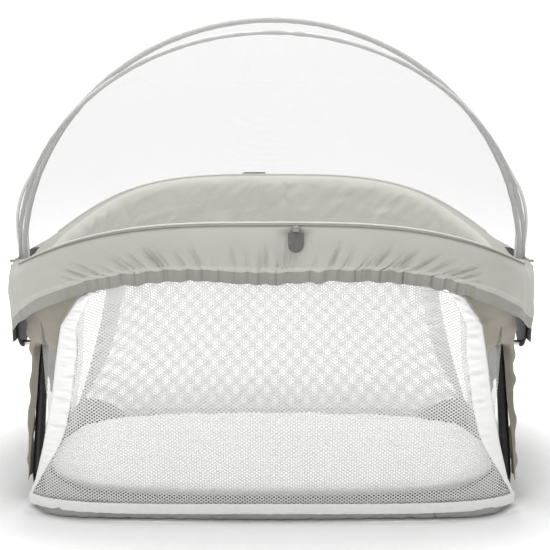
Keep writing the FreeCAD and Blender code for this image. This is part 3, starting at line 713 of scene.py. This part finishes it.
# ---- corner patches: cloth behind the mesh at the foot of each corner --------------------------------
def corner_patch(end, side):
    """Dark hill-shaped cloth, inside the walls, from the end wall round to the long wall."""
    t = np.linspace(0, 1, 60)
    v = np.linspace(0, 1, 16)
    route = np.array([(352, -40, 0), (350, -95, 0), (344, -150, 0), (330, -190, 0), (298, -211, 0),
                      (262, -217, 0)],
                     float)
    line = along_rows(route[None], t * 5)[0]
    height = 46 * np.sin(np.pi * np.clip(t * 0.98 + 0.02, 0, 1)) ** 0.8 + 2
    points = np.repeat(line[:, None], len(v), 1)
    tt, vv = np.meshgrid(t, v, indexing="ij")
    points[..., 2] = 16 + vv * height[:, None]
    puffed = 2.5 * np.sin(vv * np.pi) + 0.8 * ripples(81, tt * 200, vv * 40, 30)
    points[..., 0] -= puffed
    points[..., 1] += puffed * 0.5
    obj = grid_mesh(f"{end}_{side}_corner_patch", mirror_points(points, x=side == "left", y=end == "rear"))
    obj.data.materials.append(materials["bar_fabric"])
    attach(obj, f"{end}_legs")


for end_name in ("front", "rear"):
    for side_name in ("left", "right"):
        corner_patch(end_name, side_name)


# ---- corner gussets: the coloured cloth between a wall's edge and its leg ---------------------------
def gusset(end, side):
    """Hangs under the skirt, wraps the leg and narrows to the foot."""
    back = end == "rear"
    v = np.linspace(0, 1, 110)
    z = mixed(352, 34, v)
    reach = (HUB_Z - z) / (HUB_Z - BAR_Z)
    leg_y = -reach * CORNER_Y
    # four lines down the cloth: wall edge, front of the leg, outside of the leg, behind the leg
    edge_x = wall_edge(z) + 1.0
    edge_y = wall_surface(edge_x, z) - 1.0
    free = smooth(z, 268, 215)          # 1 where the cloth has left the wall's edge
    front_x = mixed(edge_x, 363.0, free) + 4.0 * smooth(z, 150, 80)
    front_y = mixed(edge_y, leg_y - 13.0, free)
    corner_x = mixed(334.0, 373.0, smooth(z, 335, 190)) - 5.0 * smooth(z, 120, 34)
    corner_y = mixed(-238.0, leg_y - 11.5, smooth(z, 345, 180))
    out_x = mixed(364.0, 378.0, smooth(z, 335, 240)) - 8.0 * smooth(z, 190, 60)
    out_y = mixed(-150.0, leg_y + 2, smooth(z, 345, 180))
    end_x = mixed(380.0, 376.0, smooth(z, 330, 240)) - 8.0 * smooth(z, 190, 60)
    end_y = mixed(-66.0, leg_y + 17, smooth(z, 345, 180))
    rows = [np.stack([a, b, z], -1) for a, b in ((front_x, front_y), (corner_x, corner_y),
                                                (out_x, out_y), (end_x, end_y))]
    t = np.linspace(0, 3, 44)
    points = along_rows(np.stack(rows, 1), t)
    seed = 41 + 2 * (side == "left") + back
    zz, tt = points[..., 2], np.broadcast_to(t[None, :], points.shape[:2])
    wave = ripples(seed, zz, tt * 30, 44, 2.2) * 1.7 + ripples(seed + 9, zz, tt * 22, 18, 1.6) * 0.7
    wave = wave * smooth(zz, 352, 320) * mixed(0.35, 1.0, smooth(tt, 0.2, 2.0))
    points[..., 0] += np.maximum(wave, -1.6) * smooth(tt, 0.6, 1.6)
    points[..., 1] -= wave * 0.6 * smooth(tt, 2.4, 1.2)
    obj = grid_mesh(f"{end}_{side}_gusset", mirror_points(points, x=side == "left", y=back),
                    flip=(side == "right") != back)
    obj.data.materials.append(materials["taupe_fabric"])
    thicken(obj, 0.9)
    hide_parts(f"{end}_{side}_leg_sleeve")
    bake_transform(obj)


for end_name in ("front", "rear"):
    for side_name in ("left", "right"):
        gusset(end_name, side_name)


# ---- floor bars' sleeves and the floor ------------------------------------------------------------
def bar_sleeve(end):
    """Gathered cloth tube along a floor bar."""
    route = np.array([(352, -166, 16), (346, -176, 11.5), (302, -212, 11), (160, -221, 11), (0, -225, 11)], float)
    route = np.concatenate([route, mirror_points(route[-2::-1], x=True)])
    curve = along_rows(route[None], np.linspace(0, len(route) - 1, 500))[0]
    tangent = np.gradient(curve, axis=0)
    tangent /= np.linalg.norm(tangent, axis=1)[:, None]
    side = np.cross(tangent, [0, 0, 1.0])
    side /= np.linalg.norm(side, axis=1)[:, None]
    up = np.cross(side, tangent)
    s = np.concatenate([[0], np.cumsum(np.linalg.norm(np.diff(curve, axis=0), axis=1))])
    angle = np.linspace(0, 2 * math.pi, 25)
    ss, aa = np.meshgrid(s, angle, indexing="ij")
    radius = 9.6 + 0.5 * ripples(51, ss, aa * 9, 20, 0.8) + 0.25 * ripples(52, ss, aa * 9, 8, 0.5)
    ring = side[:, None] * np.cos(aa)[..., None] + up[:, None] * np.sin(aa)[..., None]
    points = curve[:, None] + ring * radius[..., None]
    points[..., 2] = np.maximum(points[..., 2], 0.6)
    obj = grid_mesh(f"{end}_bar_cloth", mirror_points(points, y=end == "rear"), flip=end == "rear")
    obj.data.materials.append(materials["bar_fabric"])
    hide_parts(f"{end}_floor_bar_sleeve")
    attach(obj, f"{end}_legs")


def floor_cloth():
    """Stretched floor between the two bars, joined to the foot of every wall."""
    r = np.linspace(0.02, 1, 40)
    t = np.linspace(0, 2 * math.pi, 161)
    rr, tt = np.meshgrid(r, t, indexing="ij")
    x, y = superellipse(tt, 374, 214, 3.2)
    x, y = x * rr, y * rr
    z = 13.0 + 5.5 * smooth(rr, 0.93, 1.0) + 0.25 * ripples(61, x, y, 80)
    obj = grid_mesh("floor_cloth", np.stack([x, y, z], -1))
    weld(obj)
    obj.data.materials.append(materials["floor_cloth"])
    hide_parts("floor_panel")
    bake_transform(obj)


for end_name in ("front", "rear"):
    bar_sleeve(end_name)
floor_cloth()


# ---- mat ------------------------------------------------------------------------------------------
def mat():
    """Soft pad: a superellipse pillow, puffed by a short cloth simulation."""
    angle = np.linspace(0, 2 * math.pi, 200, endpoint=False)
    profile = [(0.02, 1.0), (0.5, 1.0), (0.86, 0.97), (0.95, 0.86), (0.99, 0.62), (1.0, 0.45),
               (0.985, 0.2), (0.95, 0.05), (0.7, 0.0), (0.02, 0.0)]
    rings = []
    for share, height in profile:
        x, y = superellipse(angle, MAT_W - 4, MAT_D - 4, MAT_N)
        z = np.full_like(x, MAT_LOW + 0.5 + height * (MAT_TOP - MAT_LOW - 4))
        rings.append(np.stack([x * share, y * share, z], -1))
    rings = [np.concatenate([ring, ring[:1]]) for ring in rings]
    obj = grid_mesh("mat_pad", rings, flip=True)
    weld(obj)
    puff(obj)
    points = np.array([v.co for v in obj.data.vertices]) * 1000
    top = smooth(points[:, 2], MAT_LOW + 12, MAT_TOP - 6)
    points[:, 2] -= top * 5.0 * np.exp(-((points[:, 1] - 62) / 9) ** 2)
    points[:, 2] += top * 0.8 * ripples(91, points[:, 0], points[:, 1], 120, 0.6)
    obj.data.vertices.foreach_set("co", (points * 0.001).astype(np.float32).ravel())
    smoother = obj.modifiers.new("smooth", "SUBSURF")
    smoother.levels = smoother.render_levels = 1
    bake_modifiers(obj)
    obj.data.materials.append(materials["mat_fabric"])
    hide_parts("mat_cover", "mat_foam_core")
    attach(obj, "mat")


def puff(obj, pressure=4.0, cap=0.007, frames=20):
    """Remesh, inflate with cloth for a few frames, and keep each point within cap of where it began."""
    remesh = obj.modifiers.new("remesh", "REMESH")
    remesh.mode, remesh.voxel_size = "VOXEL", 0.006
    bake_modifiers(obj)
    start = np.array([v.co for v in obj.data.vertices])
    cloth = obj.modifiers.new("cloth", "CLOTH")
    settings = cloth.settings
    settings.quality = 4
    settings.use_pressure = True
    settings.uniform_pressure_force = pressure
    settings.effector_weights.gravity = 0
    settings.mass = 0.3
    settings.tension_stiffness = settings.compression_stiffness = 8
    scene = bpy.context.scene
    for number in range(1, frames + 1):
        scene.frame_set(number)
    bake_modifiers(obj)
    scene.frame_set(1)
    moved = np.array([v.co for v in obj.data.vertices]) - start
    length = np.linalg.norm(moved, axis=1)[:, None]
    moved *= np.minimum(1, cap / np.maximum(length, 1e-9))
    points = start + moved
    points[:, 2] = np.maximum(points[:, 2], MAT_LOW * 0.001)
    obj.data.vertices.foreach_set("co", points.astype(np.float32).ravel())
    obj.data.update()


mat()


# ---- net dome -------------------------------------------------------------------------------------
def net_panel(name, low, high, bulge, count):
    """One net panel between two lines of points, its middle pushed outward."""
    t = np.linspace(0, 1, count)[None, :, None]
    flat = mixed(low[:, None], high[:, None], t)
    away = flat - np.array([0, 0, RIM_END_Z - 30.0])
    away /= np.linalg.norm(away, axis=2)[..., None]
    points = flat + away * bulge * 4 * t * (1 - t)
    obj = grid_mesh(name, points)
    obj.data.materials.append(materials["dome_net"])
    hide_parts(name.replace("net_cloth", "dome_net"))
    return obj


def rim_attach(count, end, span):
    """Line along the rim's top where the net is zipped on, from the right to the left."""
    x, y, nx, ny, s = rim_line(2000)
    wanted = np.linspace(span, -span, count)
    order = np.argsort(s)
    pick = lambda value: np.interp(wanted, s[order], value[order])
    px, py = pick(x - nx * 6.5), pick(y - ny * 6.5)
    points = np.stack([px, py, rim_top(px) + 1.0], -1)
    return mirror_points(points, y=end == "rear")


def hoop_line(name, count, first, shift=0.0, grow=0.0):
    lean, top = HOOPS[name]
    line = hoop_point(np.radians(np.linspace(first, 180 - first, count)), lean, top + grow, HOOP_W + grow)
    return line + np.array([0, shift, 0])


front_net = net_panel("front_net_cloth", rim_attach(160, "front", 590), hoop_line("front", 160, 3, -3, 3),
                      8, 30)
centre_net = net_panel("centre_net_cloth", hoop_line("front", 160, 3, 3, 3), hoop_line("rear", 160, 3, -3, 3),
                       2, 14)
rear_net = net_panel("rear_net_cloth", hoop_line("rear", 160, 3, 3, 3), rim_attach(160, "rear", 590),
                     8, 30)
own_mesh(front_net)
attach(front_net, "front_hoop")
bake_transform(centre_net)
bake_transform(rear_net)


def hoop_sleeve(name, radius):
    """Narrow cloth channel over a hoop's rod."""
    lean, top = HOOPS[name]
    angle = np.radians(np.linspace(-2, 182, 300))
    line = hoop_point(angle, lean, top, HOOP_W)
    s = np.concatenate([[0], np.cumsum(np.linalg.norm(np.diff(line, axis=0), axis=1))])
    radii = radius + 0.18 * ripples(71 + len(name), s, s * 0, 18)
    obj = tube_mesh(f"{name}_hoop_sleeve", line, radii, 10, capped=False)
    obj.data.materials.append(materials["hoop_sleeve"])
    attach(obj, f"{name}_hoop")


hoop_sleeve("front", 3.1)
hoop_sleeve("rear", 4.2)


# ---- zip tabs -------------------------------------------------------------------------------------
def tab(end, upright):
    """Folded tape pull with bound edges; it replaces the plain tab but keeps its box."""
    low, high = (np.array(c) * 1000 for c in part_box(f"{end}_zip_pull"))
    centre = (low + high) / 2
    size = high - low
    length, width = (size[2], size[0]) if upright else (size[0], size[2])
    u = np.linspace(0, 1, 28)
    v = np.linspace(0, 1, 18)
    uu, vv = np.meshgrid(u, v, indexing="ij")
    round_end = np.sqrt(np.clip(1 - np.clip((uu - 1 + width / 2 / length) / (width / 2 / length),
                                            0, 1) ** 2, 0, 1))
    taper = np.where(uu > 1 - width / 2 / length, np.maximum(round_end, 0.02), 1.0)
    across = (vv - 0.5) * width * taper
    down = uu * length
    bow = 0.5 * np.sin(uu * math.pi) - 0.35 * (2 * vv - 1) ** 2
    sign = 1 if end == "rear" else -1
    if upright:
        points = np.stack([centre[0] + across, centre[1] + sign * bow, high[2] - down], -1)
    else:
        points = np.stack([high[0] - down, centre[1] + sign * bow, centre[2] + across], -1)
    obj = grid_mesh(f"{end}_pull_tape", points, flip=False)
    thicken(obj, 1.7, 0.0)
    obj.data.materials.append(materials["tab_gray"])
    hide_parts(f"{end}_zip_pull")
    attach(obj, f"{end}_pull")


tab("front", True)
tab("rear", False)


# ---- stage, light and camera ----------------------------------------------------------------------
WORLD_LIGHT, WORLD_SEEN = 0.48, 1.05     # strength as a light, and as a backdrop
TOP_WATTS, FILL_WATTS = 45, 11
CAMERA_DOWN = 10.4                       # degrees below level


def stage():
    n = Nodes("stage_floor")
    grain = n.noise(n.place(), 25.0, 4.0)
    n.finish(colour=n.colours(grain, (0.93, 0.93, 0.93), (0.95, 0.95, 0.95)), roughness=0.9, specular=0.1)
    flat = n.node("ShaderNodeVectorMath", {0: n.scaled(n.place(), (1, 1.3, 0))}, operation="LENGTH")
    n.put(n.shader.inputs["Emission Color"], (1, 1, 1, 1))
    n.put(n.shader.inputs["Emission Strength"], n.between(flat.outputs["Value"], 0.40, 0.9, 0.0, 0.60))
    mesh = bpy.data.meshes.new("stage_floor")
    mesh.from_pydata([(-30, -30, 0), (30, -30, 0), (30, 30, 0), (-30, 30, 0)], [], [(0, 1, 2, 3)])
    floor = new_object("stage_floor", mesh)
    floor.data.materials.append(n.material)
    world = bpy.data.worlds.new("studio")
    world.use_nodes = True
    tree = world.node_tree
    backdrop = tree.nodes["Background"]
    backdrop.inputs["Color"].default_value = (1, 1, 1, 1)
    path = tree.nodes.new("ShaderNodeLightPath")
    level = tree.nodes.new("ShaderNodeMapRange")       # paper-white where seen, softer as a light
    level.inputs["To Min"].default_value, level.inputs["To Max"].default_value = WORLD_LIGHT, WORLD_SEEN
    tree.links.new(path.outputs["Is Camera Ray"], level.inputs["Value"])
    tree.links.new(level.outputs[0], backdrop.inputs["Strength"])
    bpy.context.scene.world = world


def area_light(name, place, target, size, watts, colour=(1, 1, 1)):
    data = bpy.data.lights.new(name, "AREA")
    data.shape, data.size, data.energy, data.color = "DISK", size, watts, colour
    light = new_object(name, data)
    light.location = place
    direction = np.array(target, float) - np.array(place, float)
    light.rotation_mode = "QUATERNION"
    light.rotation_quaternion = Vector(direction).to_track_quat("-Z", "Y")


stage()
area_light("top", (0.0, -0.15, 2.4), (0, 0, 0.3), 1.6, TOP_WATTS)
area_light("front_fill", (-0.9, -2.4, 1.5), (0, 0, 0.25), 1.4, FILL_WATTS)

camera_data = bpy.data.cameras.new("camera")
camera_data.lens, camera_data.sensor_width = 78.55, 36.0
camera_data.clip_start, camera_data.clip_end = 0.05, 60
camera = new_object("camera", camera_data)
camera.location = (0.0048, -1.880, 0.666)
camera.rotation_euler = (math.radians(90 - CAMERA_DOWN), 0, 0)
bpy.context.scene.camera = camera
bpy.context.scene.view_settings.view_transform = "Standard"

bpy.context.view_layer.update()
